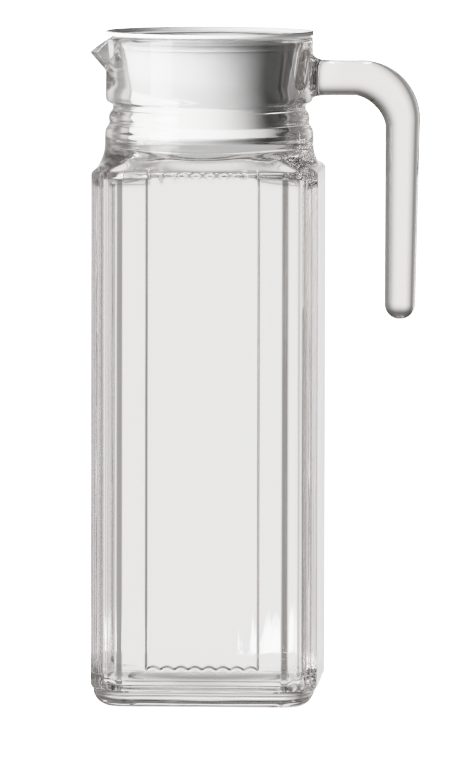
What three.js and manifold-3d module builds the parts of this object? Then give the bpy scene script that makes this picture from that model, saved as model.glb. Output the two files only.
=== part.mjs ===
// Square clear-glass fridge jug with a fused glass hook handle and a white plastic plug lid.
// Millimetres, +Z up. The origin is the middle of the foot, on the table plane.
// The pouring beak points along -X and the handle along +X.

import * as THREE from 'three';
import { mergeVertices } from 'three/addons/utils/BufferGeometryUtils.js';
import Module from 'manifold-3d';

const wasm = await Module();
wasm.setup();

// ---------------------------------------------------------------- driving dimensions
const HEIGHT = 250;             // table to the top of the closed lid
const GAP = 0.3;                // clearance wherever two pieces face each other

// square body: three levels of flat panel step back towards each corner
const PANEL_HALF = 42.1;        // middle panel, distance from the axis
const PANEL_EDGE = 30.5;        // middle panel, half width
const LEDGE_HALF = 39.9;        // second level, distance from the axis
const LEDGE_EDGE = 36.4;        // second level, half width
const CORNER_HALF = 37.7;       // corner column, distance from the axis
const HEEL_CENTRE = 29;         // centre of the rounded corners of heel, shoulder and foot

// heights of the glass
const FOOT_HALF = 34;           // half width of the flat foot
const HEEL_TOP = 6.6;
const HEEL_INSET = 1;           // the heel stands this far inside the panels
const COLUMN_BOTTOM = 8.2;
const COLUMN_TOP = 198.5;
const SHOULDER_TOP = 207;
const RIM = HEIGHT - 1.7 - GAP;  // the lid's flange is 1.7 thick

// round neck
const BAND_RADIUS = 39;
const BAND_TOP = 213.6;
const GROOVE_RADIUS = 37.3;
const GROOVE_Z = 215.6;
const BEAD_RADIUS = 37.7;
const BEAD_Z = 217.7;
const WAIST_RADIUS = 36.2;
const WAIST_Z = 221.3;
const COLLAR_RADIUS = 38.8;
const COLLAR_BOTTOM = 224.8;
const RIM_ROUND = 1.2;

// hollow
const INNER_HALF = 37.2;
const INNER_CORNER = 9;
const BORE_TOP = 34.2;          // the neck's bore narrows from the rim to the throat
const BORE_THROAT = 30.3;
const THROAT_Z = 227;
const BORE_LOW = 29.9;
const BORE_LOW_Z = 209;
const FLOOR_Z = 8;
const FLOOR_FILLET = 6;

// pouring beak
const BEAK_REACH = 6.8;         // how far the tip stands out from the collar
const BEAK_TIP_Z = 242.1;
const BEAK_ROOT_Z = 234.9;      // the beak fades into the collar here
const BEAK_SPREAD = THREE.MathUtils.degToRad(15);

// handle: an open-ended hook
const HANDLE_ROOT_X = 36;       // the arm starts here, inside the collar's line, and is cut back
const ARM_Z = 232.6;
const ARM_HEIGHT = 13.1;
const GRIP_X = 72.2;            // middle of the grip just below the bend
const GRIP_WIDTH = 12.9;
const GRIP_END_WIDTH = 11.5;
const GRIP_LENGTH = 65.6;
const BEND_RADIUS = 19.2;
const BEND_ANGLE = THREE.MathUtils.degToRad(90.7);
const BEND_SWELL = 1.9;         // the bar is thicker in the middle of the bend
const BEND_SEGMENTS = 8;
const HANDLE_DEPTH = 11.5;      // front to back
const PAD_WIDTH = 30;
const PAD_HEIGHT = 18;
const PAD_THICK = 1.4;

// lid
const FLANGE_RADIUS = 38.85;
const FLANGE_THICK = 1.7;
const LIP_WIDTH = 1.3;
const LIP_HEIGHT = 0.8;
const PLUG_CLEARANCE = 1.3;     // from the plug's wall to the neck's bore
const BAND_CLEARANCE = 0.7;     // from the thicker sealing band to the bore
const PLUG_WALL = 1.6;
const PLUG_END_Z = 209.7;
const RIB_HEIGHT = 1.2;         // two fine ribs run round the top of the band
const RIB_LEVELS = [245.6, 243.4];
const BAND_MIDDLE_Z = 224.6;    // height of the band's slanted lower edge on the axis
const BAND_SLOPE = 0.12;        // the band is deeper on the handle side

// ---------------------------------------------------------------- mesh helpers

// Joins a list of rings, each with the same number of points, into one closed skin.
// The first and the last ring are closed with a fan of triangles.
function loft(rings) {
  const count = rings[0].length;
  const positions = [];
  for (const ring of rings) {
    for (const point of ring) positions.push(point.x, point.y, point.z);
  }
  const index = [];
  for (let level = 0; level + 1 < rings.length; level += 1) {
    for (let i = 0; i < count; i += 1) {
      const a = level * count + i;
      const b = level * count + ((i + 1) % count);
      index.push(a, b, a + count, b, b + count, a + count);
    }
  }
  const centre = (ring) => ring.reduce((sum, p) => sum.add(p), new THREE.Vector3()).divideScalar(count);
  const first = positions.length / 3;
  positions.push(...centre(rings[0]).toArray(), ...centre(rings.at(-1)).toArray());
  const lastStart = (rings.length - 1) * count;
  for (let i = 0; i < count; i += 1) {
    const j = (i + 1) % count;
    index.push(first, j, i, first + 1, lastStart + i, lastStart + j);
  }
  const geometry = new THREE.BufferGeometry();
  geometry.setAttribute('position', new THREE.Float32BufferAttribute(positions, 3));
  geometry.setIndex(index);
  return geometry;
}

function toSolid(geometry) {
  const bare = geometry.clone();
  bare.deleteAttribute('normal');
  bare.deleteAttribute('uv');
  const merged = mergeVertices(bare, 1e-4);
  return new wasm.Manifold(new wasm.Mesh({
    numProp: 3,
    vertProperties: new Float32Array(merged.attributes.position.array),
    triVerts: new Uint32Array(merged.index.array),
  }));
}

function toGeometry(solid) {
  const mesh = solid.getMesh();
  const geometry = new THREE.BufferGeometry();
  geometry.setAttribute('position', new THREE.Float32BufferAttribute(mesh.vertProperties, 3));
  geometry.setIndex(new THREE.Uint32BufferAttribute(mesh.triVerts, 1));
  return geometry;
}

function piece(name, geometry, look) {
  const mesh = new THREE.Mesh(geometry, new THREE.MeshStandardMaterial(look));
  mesh.name = name;
  return mesh;
}

// A surface of revolution about Z from [radius, z] points that close on themselves.
function turned(profile, segments) {
  const points = [...profile, profile[0]].map(([radius, z]) => new THREE.Vector2(radius, z));
  const geometry = new THREE.LatheGeometry(points, segments);
  geometry.rotateX(Math.PI / 2);
  return geometry;
}

// ---------------------------------------------------------------- cross sections of the glass

// Distance from the axis to the side of a rectangle, along the direction of an angle.
function rectangleReach(angle, halfX, halfY) {
  return Math.min(halfX / Math.abs(Math.cos(angle)), halfY / Math.abs(Math.sin(angle)));
}

// The stepped square is the union of a few centred rectangles.
function steppedReach(angle, inset = 0) {
  const rectangles = [
    [PANEL_HALF, PANEL_EDGE],
    [LEDGE_HALF, LEDGE_EDGE],
    [CORNER_HALF, CORNER_HALF],
    [LEDGE_EDGE, LEDGE_HALF],
    [PANEL_EDGE, PANEL_HALF],
  ];
  return Math.max(...rectangles.map(([x, y]) => rectangleReach(angle, x - inset, y - inset)));
}

// A square whose corners are arcs of the given radius.
function roundedSquareReach(angle, half, cornerRadius) {
  const x = Math.abs(Math.cos(angle));
  const y = Math.abs(Math.sin(angle));
  const straight = half / Math.max(x, y);
  const centre = half - cornerRadius;
  if (Math.min(x, y) * straight <= centre) return straight;
  const along = centre * (x + y);
  return along + Math.sqrt(along * along - 2 * centre * centre + cornerRadius * cornerRadius);
}

// Directions of the loft's points: the corners of the steps, a few between, and more at the beak.
function loftAngles() {
  const degrees = THREE.MathUtils.radToDeg;
  const eighth = [
    0, 12, 24,
    degrees(Math.atan2(PANEL_EDGE, PANEL_HALF)),
    degrees(Math.atan2(PANEL_EDGE, LEDGE_HALF)),
    degrees(Math.atan2(LEDGE_EDGE, LEDGE_HALF)),
    degrees(Math.atan2(LEDGE_EDGE, CORNER_HALF)),
    45,
  ];
  const quarter = [...eighth, ...eighth.slice(1, -1).reverse().map((angle) => 90 - angle)];
  const all = [0, 90, 180, 270].flatMap((start) => quarter.map((angle) => start + angle));
  all.push(172, 176, 184, 188);
  return all.sort((a, b) => a - b).map((angle) => THREE.MathUtils.degToRad(angle));
}

const ANGLES = loftAngles();

function ringAt(z, reach) {
  return ANGLES.map((angle) => {
    const radius = reach(angle);
    return new THREE.Vector3(radius * Math.cos(angle), radius * Math.sin(angle), z);
  });
}

const squareRing = (z, half) => ringAt(z, (angle) => roundedSquareReach(angle, half, half - HEEL_CENTRE));
const roundRing = (z, radius) => ringAt(z, () => radius);

// ---------------------------------------------------------------- glass body

// How strongly the beak acts in a direction: 1 at its tip, 0 away from it.
function beakStrength(angle) {
  const away = Math.abs(angle - Math.PI) / BEAK_SPREAD;
  return Math.max(0, 1 - away);
}

// A ring of the collar, pushed out and lowered at the beak. The share is 0 at the beak's root
// and 1 at the rim.
function collarRing(z, radius, share) {
  return ANGLES.map((angle) => {
    const strength = beakStrength(angle) * share;
    const reach = radius + BEAK_REACH * strength;
    const dip = (RIM - BEAK_TIP_Z) * strength;
    return new THREE.Vector3(reach * Math.cos(angle), reach * Math.sin(angle), z - dip);
  });
}

// The flat foot and the quarter-round heel above it.
function heelRings() {
  const heelHalf = PANEL_HALF - HEEL_INSET;
  const rings = [squareRing(0, FOOT_HALF)];
  for (const degrees of [25, 50, 72, 90]) {
    const turn = THREE.MathUtils.degToRad(degrees);
    const half = FOOT_HALF + (heelHalf - FOOT_HALF) * Math.sin(turn);
    rings.push(squareRing(HEEL_TOP * (1 - Math.cos(turn)), half));
  }
  return rings;
}

function columnRings() {
  return [
    ringAt(HEEL_TOP + 0.2, (angle) => steppedReach(angle, 0.7)),
    ringAt(COLUMN_BOTTOM, steppedReach),
    ringAt(COLUMN_TOP, steppedReach),
    ringAt(COLUMN_TOP + 1, (angle) => steppedReach(angle, 0.5)),
  ];
}

// The shoulder turns the rounded square into the round neck band.
function shoulderRings() {
  const start = COLUMN_TOP + 1.2;
  const rings = [];
  for (const share of [0, 0.3, 0.6, 0.85, 1]) {
    const z = start + (SHOULDER_TOP - start) * share;
    const roundness = share * share * (3 - 2 * share);
    const half = PANEL_HALF - 0.6;
    rings.push(ringAt(z, (angle) => {
      const square = roundedSquareReach(angle, half, half - HEEL_CENTRE);
      return square + (BAND_RADIUS - square) * roundness;
    }));
  }
  return rings;
}

function neckRings() {
  return [
    roundRing(BAND_TOP, BAND_RADIUS),
    roundRing(GROOVE_Z, GROOVE_RADIUS),
    roundRing(BEAD_Z, BEAD_RADIUS),
    roundRing(WAIST_Z - 1, WAIST_RADIUS),
    roundRing(WAIST_Z + 1, WAIST_RADIUS),
    roundRing(COLLAR_BOTTOM, COLLAR_RADIUS),
    collarRing(BEAK_ROOT_Z, COLLAR_RADIUS, 0),
    collarRing((BEAK_ROOT_Z + RIM) / 2, COLLAR_RADIUS, 0.5),
    collarRing(RIM - RIM_ROUND, COLLAR_RADIUS, 1 - RIM_ROUND / (RIM - BEAK_ROOT_Z)),
    collarRing(RIM, COLLAR_RADIUS - RIM_ROUND, 1),
  ];
}

// Radius of the neck's bore at a height.
function boreRadius(z) {
  if (z >= THROAT_Z) {
    return THREE.MathUtils.mapLinear(z, THROAT_Z, RIM, BORE_THROAT, BORE_TOP);
  }
  return THREE.MathUtils.mapLinear(z, BORE_LOW_Z, THROAT_Z, BORE_LOW, BORE_THROAT);
}

function hollowRings() {
  const innerSquare = (z, half) => ringAt(z, (angle) => (
    roundedSquareReach(angle, half, Math.max(2, INNER_CORNER + half - INNER_HALF))));
  const rings = [
    collarRing(RIM, BORE_TOP + RIM_ROUND / 2, 1),
    collarRing(RIM - RIM_ROUND, boreRadius(RIM - RIM_ROUND), 1 - RIM_ROUND / (RIM - BEAK_ROOT_Z)),
    collarRing(BEAK_ROOT_Z, boreRadius(BEAK_ROOT_Z), 0),
    roundRing(THROAT_Z, BORE_THROAT),
    roundRing(BORE_LOW_Z, BORE_LOW),
  ];
  const end = COLUMN_TOP - 5;
  for (const share of [0.2, 0.4, 0.6, 0.8, 1]) {
    const squareness = share * share * (3 - 2 * share);
    rings.push(ringAt(BORE_LOW_Z + (end - BORE_LOW_Z) * share, (angle) => {
      const square = roundedSquareReach(angle, INNER_HALF, INNER_CORNER);
      return BORE_LOW + (square - BORE_LOW) * squareness;
    }));
  }
  for (const degrees of [0, 30, 60, 90]) {
    const turn = THREE.MathUtils.degToRad(degrees);
    const z = FLOOR_Z + FLOOR_FILLET * (1 - Math.sin(turn));
    rings.push(innerSquare(z, INNER_HALF - FLOOR_FILLET * (1 - Math.cos(turn))));
  }
  rings.push(ringAt(FLOOR_Z, () => INNER_HALF / 3));
  return rings;
}

function glassBody() {
  return loft([
    ...heelRings(),
    ...columnRings(),
    ...shoulderRings(),
    ...neckRings(),
    ...hollowRings(),
  ]);
}

// ---------------------------------------------------------------- glass handle

// Middle line of the hook in the XZ plane: out along the arm, round the bend, down the grip.
// Gives the centre and the direction at a distance from the arm's inner end.
function handleLine(distance) {
  const armLength = GRIP_X - BEND_RADIUS - HANDLE_ROOT_X;
  if (distance <= armLength) {
    return {
      centre: new THREE.Vector3(HANDLE_ROOT_X + distance, 0, ARM_Z),
      direction: new THREE.Vector3(1, 0, 0),
    };
  }
  const turn = Math.min((distance - armLength) / BEND_RADIUS, BEND_ANGLE);
  const centre = new THREE.Vector3(GRIP_X - BEND_RADIUS, 0, ARM_Z - BEND_RADIUS);
  centre.x += BEND_RADIUS * Math.sin(turn);
  centre.z += BEND_RADIUS * Math.cos(turn);
  const direction = new THREE.Vector3(Math.cos(turn), 0, -Math.sin(turn));
  const past = distance - armLength - BEND_RADIUS * turn;
  return { centre: centre.addScaledVector(direction, past), direction };
}

// One oval section of the bar, across the path.
function barSection({ centre, direction }, halfWidth, halfDepth) {
  const across = new THREE.Vector3(-direction.z, 0, direction.x);
  const points = [];
  const count = 16;
  const squareness = 0.8;
  const rounded = (value) => Math.sign(value) * Math.abs(value) ** squareness;
  for (let i = 0; i < count; i += 1) {
    const turn = (i / count) * Math.PI * 2;
    const point = centre.clone().addScaledVector(across, halfWidth * rounded(Math.cos(turn)));
    point.y -= halfDepth * rounded(Math.sin(turn));
    points.push(point);
  }
  return points;
}

// Width of the bar in the plane of the hook: widest in the bend, narrowing down the grip.
function barWidth(distance) {
  const armLength = GRIP_X - BEND_RADIUS - HANDLE_ROOT_X;
  const bendLength = BEND_RADIUS * BEND_ANGLE;
  const inBend = THREE.MathUtils.clamp((distance - armLength) / bendLength, 0, 1);
  const alongGrip = THREE.MathUtils.clamp((distance - armLength - bendLength) / GRIP_LENGTH, 0, 1);
  const base = THREE.MathUtils.lerp(ARM_HEIGHT, GRIP_WIDTH, inBend);
  return base + BEND_SWELL * Math.sin(Math.PI * inBend) - (GRIP_WIDTH - GRIP_END_WIDTH) * alongGrip;
}

function handleBar() {
  const armLength = GRIP_X - BEND_RADIUS - HANDLE_ROOT_X;
  const bendLength = BEND_RADIUS * BEND_ANGLE;
  const distances = [0, armLength / 2];
  for (let i = 0; i <= BEND_SEGMENTS; i += 1) distances.push(armLength + (bendLength * i) / BEND_SEGMENTS);
  distances.push(armLength + bendLength + GRIP_LENGTH / 2, armLength + bendLength + GRIP_LENGTH);
  const rings = distances.map((distance) => (
    barSection(handleLine(distance), barWidth(distance) / 2, HANDLE_DEPTH / 2)));
  const last = handleLine(distances.at(-1));
  for (const degrees of [30, 55, 75, 86]) {
    const turn = THREE.MathUtils.degToRad(degrees);
    const centre = last.centre.clone();
    centre.addScaledVector(last.direction, (GRIP_END_WIDTH / 2) * Math.sin(turn));
    const section = { centre, direction: last.direction };
    const shrink = Math.cos(turn);
    rings.push(barSection(section, (GRIP_END_WIDTH / 2) * shrink, (HANDLE_DEPTH / 2) * shrink));
  }
  return loft(rings);
}

// A thin oval pad that wraps the collar, where the hot arm was pressed on.
function weldPad() {
  const inside = COLLAR_RADIUS - 1;
  const outside = COLLAR_RADIUS + GAP + PAD_THICK;
  const low = ARM_Z - PAD_HEIGHT / 2 - 1;
  const high = ARM_Z + PAD_HEIGHT / 2 + 1;
  const shell = turned([[inside, low], [outside, low], [outside, high], [inside, high]], 96);
  const oval = new THREE.CylinderGeometry(PAD_HEIGHT / 2, PAD_HEIGHT / 2, outside, 32);
  oval.rotateZ(Math.PI / 2);
  oval.scale(1, PAD_WIDTH / PAD_HEIGHT, 1);
  oval.translate(outside / 2 + PAD_HEIGHT / 2, 0, ARM_Z);
  return toSolid(shell).intersect(toSolid(oval));
}

// The neck swollen by the gap: the handle's root is cut to it.
function neckClearance() {
  const radius = COLLAR_RADIUS + GAP;
  const bottom = COLLAR_BOTTOM - 10;
  return turned([[0, bottom], [radius, bottom], [radius, RIM], [0, RIM]], 96);
}

function glassHandle() {
  const joined = toSolid(handleBar()).add(weldPad());
  return toGeometry(joined.subtract(toSolid(neckClearance())));
}

// ---------------------------------------------------------------- lid

// Flange with a raised lip, and the hollow plug below it, open at the top.
function cupProfile() {
  const under = HEIGHT - FLANGE_THICK;
  const dish = HEIGHT - LIP_HEIGHT;
  const outer = (z) => boreRadius(z) - PLUG_CLEARANCE;
  const floor = PLUG_END_Z + PLUG_WALL;
  return [
    [0, PLUG_END_Z],
    [outer(PLUG_END_Z) - 1.5, PLUG_END_Z],
    [outer(PLUG_END_Z), PLUG_END_Z + 1.5],
    [outer(THROAT_Z), THROAT_Z],
    [outer(under), under],
    [FLANGE_RADIUS, under],
    [FLANGE_RADIUS, HEIGHT - 0.4],
    [FLANGE_RADIUS - 0.3, HEIGHT],
    [FLANGE_RADIUS - LIP_WIDTH + 0.3, HEIGHT],
    [FLANGE_RADIUS - LIP_WIDTH, dish],
    [outer(under), dish],
    [outer(under) - PLUG_WALL, dish - 1],
    [outer(THROAT_Z) - PLUG_WALL, THROAT_Z],
    [outer(floor) - PLUG_WALL, floor + 2],
    [outer(floor) - PLUG_WALL - 2, floor],
    [0, floor],
  ];
}

// The thicker band that seals in the bore, with its fine ribs.
function bandProfile() {
  const under = HEIGHT - FLANGE_THICK;
  const lowest = THROAT_Z - 12;
  const inner = (z) => boreRadius(z) - PLUG_CLEARANCE - PLUG_WALL / 2;
  const outer = (z) => boreRadius(z) - BAND_CLEARANCE;
  const points = [
    [inner(lowest), lowest],
    [outer(lowest), lowest],
    [outer(THROAT_Z), THROAT_Z],
  ];
  for (const level of [...RIB_LEVELS].reverse()) {
    points.push([outer(level - RIB_HEIGHT / 2), level - RIB_HEIGHT / 2]);
    points.push([boreRadius(level) - GAP * 1.2, level]);
    points.push([outer(level + RIB_HEIGHT / 2), level + RIB_HEIGHT / 2]);
  }
  points.push([outer(under), under], [outer(under), under + FLANGE_THICK / 2]);
  points.push([inner(under), under + FLANGE_THICK / 2], [inner(THROAT_Z), THROAT_Z]);
  return points;
}

// A block whose sloping top face trims the lower edge of the band.
function slantCutter() {
  const size = 120;
  const height = 40;
  const block = new THREE.BoxGeometry(size, size, height);
  block.translate(0, 0, -height / 2);
  block.rotateY(Math.atan(BAND_SLOPE));
  block.translate(0, 0, BAND_MIDDLE_Z);
  return block;
}

function lidGeometry() {
  const band = toSolid(turned(bandProfile(), 64)).subtract(toSolid(slantCutter()));
  return toGeometry(toSolid(turned(cupProfile(), 64)).add(band));
}

// ---------------------------------------------------------------- the jug

const clearGlass = { color: 0xe9eaea, roughness: 0.03, metalness: 0 };
const whitePlastic = { color: 0xf2f2f0, roughness: 0.35, metalness: 0 };

const jug = new THREE.Group();
jug.add(piece('glass_body', glassBody(), clearGlass));
jug.add(piece('glass_handle', glassHandle(), clearGlass));
jug.add(piece('lid', lidGeometry(), whitePlastic));

export default jug;
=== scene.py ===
"""Fine glass and plastic for a tall square water jug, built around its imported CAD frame.

Shapes are worked out in millimetres in the frame's own axes (+Z up, beak at -X, handle at +X)
and turned into metres when a mesh is made.
"""

import math

import bpy
import numpy as np
from mathutils import Matrix, Vector


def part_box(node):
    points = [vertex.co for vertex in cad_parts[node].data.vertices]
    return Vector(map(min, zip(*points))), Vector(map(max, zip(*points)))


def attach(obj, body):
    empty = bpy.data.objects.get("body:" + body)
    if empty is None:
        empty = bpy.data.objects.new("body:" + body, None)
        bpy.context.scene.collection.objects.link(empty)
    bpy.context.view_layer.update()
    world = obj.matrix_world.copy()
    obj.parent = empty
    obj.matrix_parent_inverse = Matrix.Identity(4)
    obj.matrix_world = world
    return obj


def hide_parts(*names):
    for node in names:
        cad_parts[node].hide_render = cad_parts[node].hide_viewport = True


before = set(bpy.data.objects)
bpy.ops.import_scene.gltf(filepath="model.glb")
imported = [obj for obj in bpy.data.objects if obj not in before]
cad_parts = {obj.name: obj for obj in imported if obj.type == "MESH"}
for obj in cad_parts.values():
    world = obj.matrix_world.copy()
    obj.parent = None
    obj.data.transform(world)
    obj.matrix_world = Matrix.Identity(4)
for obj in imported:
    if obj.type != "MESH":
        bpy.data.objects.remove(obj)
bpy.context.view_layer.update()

MM = 0.001


def box_mm(node):
    """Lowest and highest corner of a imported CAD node."""
    low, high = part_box(node)
    return np.array(low) / MM, np.array(high) / MM


BODY_LOW, BODY_HIGH = box_mm("glass_body")
LID_LOW, LID_HIGH = box_mm("lid")

# ------------------------------------------------------------------ driving dimensions, mm

RIM_Z = BODY_HIGH[2]
TOP_Z = LID_HIGH[2]

# square body, in three levels (panel, ledge and corner) that step back towards each corner
PANEL_HALF = BODY_HIGH[1]  # middle panel, distance from the axis
PANEL_EDGE = 30.7  # middle panel, half width
PANEL_SLANT = 2.4  # width of the slanted step down to the ledge
LEDGE_HALF = PANEL_HALF - 2.1  # ledge, distance from the axis
LEDGE_EDGE = 36.0  # ledge, half width
LEDGE_SLANT = 1.5  # width of the slanted step down to the corner
WIDE_SLANT = 2.6  # the same on the wide panel, which has no ledge
CORNER_HALF = PANEL_HALF - 3.5  # corner, distance of its two faces from the axis
STEP_ROUND = 1.1
STEP_FILLET = 1.6
LEDGE_ROUND = 1.4
CORNER_FILLET = 0.6
CORNER_ROUND = 1.0
CORNER_CENTRE = 29.0  # centre of the rounded corners of heel, shoulder and foot
ARC_STEPS = 6  # points on each rounded edge
POINT_SPACING = 0.65  # largest gap between points round the corner
COLUMN_END_INSET = 0.25  # small dip where the columns meet heel and shoulder

FOOT_HALF = 34.0  # half width of the flat foot
FOOT_WIDTH = 5.0
FOOT_EDGE_INSET = 0.8
PUSH_UP = 1.6  # height of the hollow under the jug
PUSH_UP_ROUND = 3.0
HEEL_TOP = 6.6
HEEL_INSET = 1.0  # the heel stands this far inside the panels
COLUMN_BOTTOM = 8.6
COLUMN_TOP = 197.8
SHOULDER_Z = 199.0
SHOULDER_TOP = 208.0
SHOULDER_INSET = 0.8
SHOULDER_START = 0.15
SHOULDER_BULGE = 0.65  # below 1, the shoulder turns round early
SHOULDER_SPACING = 1.4  # above 1, rings are closer together low down

# hollow
INNER_HALF = 37.6
INNER_CORNER = 3.4
FLOOR_Z = 8.0
FLOOR_FILLET = 6.0
FLOOR_SPACING = 1.3  # above 1, rings are closer together near the floor
FLOOR_DOME = 0.5
FLUTE_PITCH = 5.25
POINTS_PER_FLUTE = 7
PAD_HALF_WIDTH = 4 * FLUTE_PITCH  # the thicker pad inside the front panel
WIDE_FLUTE_END = 33.4  # one wide flute fills the rest of the panel
FLUTE_DEPTH = 0.08
PAD_THICKNESS = 0.85
PAD_SIDE_WIDTH = 0.8
INNER_SHOULDER_Z = 196.3
INNER_SHOULDER_TOP = 205.0
INNER_SHOULDER_BULGE = 0.75  # below 1, the hollow turns round early
PAD_TOP_Z = 198.6
PAD_BOTTOM_Z = 13.6
PAD_SCALLOP = 1.3
PAD_EDGE_WIDTH = 1.5
FRONT_SIN = -0.7  # the front panel lies where SIN is below this
INNER_HEEL_Z = 16.5
BORE = [(202.5, 34.4), (212.0, 30.0), (227.0, 30.3), (RIM_Z, 34.2)]
BORE_TOP = BORE[-1][1]
COLLAR_BOTTOM_Z = 226.0
RIPPLE_HEIGHT = 0.14
RIPPLE_PITCH = 2.7

# size and phase of the unevenness of each wall
COLUMN_WAVE = (0.012, 0.3)
INNER_SHOULDER_WAVE = (0.04, 0.9)
INNER_WALL_WAVE = (0.02, 1.9)

# neck: outline from the band up to the collar, as (radius, height)
NECK_OUTLINE = [
    (39.0, 208.0),
    (38.95, 211.6),
    (38.6, 213.5),
    (37.4, 215.6),
    (37.55, 217.6),
    (37.2, 219.2),
    (36.1, 221.0),
    (36.3, 222.5),
    (38.1, 223.6),
    (38.7, 225.2),
    (38.7, 229.0),
]
COLLAR_RADIUS = 38.7
COLLAR_START_Z = 231.0
RIM_ROUND = 1.3

# pouring beak
BEAK_REACH = -BODY_LOW[0] - COLLAR_RADIUS
BEAK_TIP_Z = 242.1
BEAK_ROOT_Z = 234.9  # the beak fades into the collar here
BEAK_SPREAD = math.radians(19)  # to each side of the tip
BEAK_TIP_SOFTNESS = math.radians(1.2)
BEAK_SHARPNESS = 1.5

# handle
ARM_Z = 232.6
ARM_HEIGHT = 13.1
GRIP_X = 72.2  # middle of the grip just below the bend
GRIP_WIDTH = 12.9
GRIP_END_WIDTH = 11.5
GRIP_LENGTH = 66.6
BEND_RADIUS = 17.4
BEND_ANGLE = math.radians(90.7)
BEND_SWELL = 1.9  # the bar is thicker in the middle of the bend
HANDLE_DEPTH = 11.5  # front to back
HANDLE_ROUNDNESS = 0.64  # 1 is an oval section, 0 a square one
HANDLE_ROOT_X = 36.6
WELD_HEIGHT = 5.5
WELD_DEPTH = 5.0
WELD_LIFT = 2.0
WELD_FADE = 1.7  # the flare at the weld shrinks over this length
WELD_REACH = 10.0  # rings are close together up to here
HANDLE_TINT_START = 40.0
HANDLE_TINT_END = 50.0

# lid
FLANGE_RADIUS = LID_HIGH[0]
FLANGE_THICK = 1.7
FLANGE_EDGE_ROUND = 0.45
FLANGE_FILLET = 0.4
FLANGE_SIDE_POWER = 0.1  # near 0, the side is one straight step between its two round edges
LIP_WIDTH = 1.3
LIP_HEIGHT = 1.7
PLUG_CLEARANCE = 1.0  # from the plug's wall to the neck's bore
BAND_CLEARANCE = 0.7  # from the thicker sealing band to the bore
RIB_CLEARANCE = 0.4  # from the ribs to the bore
PLUG_WALL = 1.6
PLUG_END_Z = LID_LOW[2]
PLUG_END_ROUND = 1.5
PLUG_END_HOLLOW = 0.25
HOLLOW_RADIUS = 28
CUP_TOP_ROUND = 1.0
CUP_TOP_SLOPE = 1.4
CUP_WALL_START = 3.0  # depth below the lip's dish where the straight wall starts
CUP_FLOOR_ROUND = 2.5
RIB_LEVELS = (245.6, 243.4)
RIB_HEIGHT = 1.2
BAND_MIDDLE_Z = 224.6  # height of the band's slanted lower edge on the axis
BAND_SLOPE = 0.12  # the band is deeper on the handle side
BAND_REACH = 30  # radius at which the slope is measured
BAND_EDGE_START = 0.5  # the plain wall ends this far below the band's lower edge
BAND_EDGE_ROUND = 0.4
BAND_EDGE_END = 0.3

# edges sharper than this stay sharp, in degrees
SHARP_ANGLE = 30
SHARP_ANGLE_GLASS = 40

# ------------------------------------------------------------------ mesh helpers


def new_object(name, points_mm, faces):
    """A smooth-shaded mesh object from points in millimetres."""
    mesh = bpy.data.meshes.new(name)
    mesh.from_pydata((np.asarray(points_mm) * MM).tolist(), [], faces)
    mesh.validate()
    mesh.shade_smooth()
    mesh.set_sharp_from_angle(angle=math.radians(SHARP_ANGLE))
    thing = bpy.data.objects.new(name, mesh)
    bpy.context.scene.collection.objects.link(thing)
    return thing


def loft(rings):
    """One closed skin through rings of the same number of points, with a fan at each end."""
    rings = np.asarray(rings)
    levels, count = rings.shape[:2]
    points = rings.reshape(-1, 3)
    around = np.arange(count)
    following = (around + 1) % count
    faces = []
    for level in range(levels - 1):
        low = level * count
        high = low + count
        quads = np.stack([low + around, low + following, high + following, high + around], 1)
        faces.extend(quads.tolist())
    first = len(points)
    last = first + 1
    end = (levels - 1) * count
    faces.extend([first, b, a] for a, b in zip(around.tolist(), following.tolist()))
    faces.extend([last, end + a, end + b] for a, b in zip(around.tolist(), following.tolist()))
    points = np.vstack([points, rings[0].mean(0), rings[-1].mean(0)])
    return points, faces


def smooth_curve(points, per_span):
    """Catmull-Rom curve through 2-D points."""
    p = np.array([points[0]] + list(points) + [points[-1]], float)
    t = np.linspace(0, 1, per_span, endpoint=False)[:, None]
    spans = []
    for a, b, c, d in zip(p, p[1:], p[2:], p[3:]):
        bend = 2 * a - 5 * b + 4 * c - d
        twist = 3 * b - 3 * c + d - a
        spans.append(0.5 * (2 * b + (c - a) * t + bend * t**2 + twist * t**3))
    return np.vstack(spans + [p[-1:]])


def fillet_outline(corners, radii, arc_steps):
    """Open outline through corners, with each inner corner rounded to its radius."""
    corners = [np.array(c, float) for c in corners]
    outline = [corners[0]]
    for before, corner, after, radius in zip(corners, corners[1:], corners[2:], radii):
        into = (corner - before) / np.linalg.norm(corner - before)
        out = (after - corner) / np.linalg.norm(after - corner)
        turn = math.acos(np.clip(into @ out, -1, 1))
        cut = radius * math.tan(turn / 2)
        start = corner - into * cut
        centre = start + (out - into * (into @ out)) / math.sin(turn) * radius
        for step in range(arc_steps + 1):
            angle = turn * step / arc_steps
            away = start - centre
            outline.append(centre + away * math.cos(angle) + into * radius * math.sin(angle))
    outline.append(corners[-1])
    return outline


# ------------------------------------------------------------------ cross sections of the glass


def panel_marks():
    """Distances from the middle of a panel, closer together at the edge of the pad."""
    plain = np.arange(0, PANEL_EDGE, FLUTE_PITCH / POINTS_PER_FLUTE)
    plain = plain[np.abs(plain - PAD_HALF_WIDTH) > PAD_SIDE_WIDTH * 0.8]
    fine = PAD_HALF_WIDTH + PAD_SIDE_WIDTH * np.linspace(-0.75, 0.75, 13)
    marks = np.sort(np.concatenate([plain, fine])) * PANEL_HALF / INNER_HALF
    return marks[marks < PANEL_EDGE - PANEL_SLANT / 2 - 1]


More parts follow.
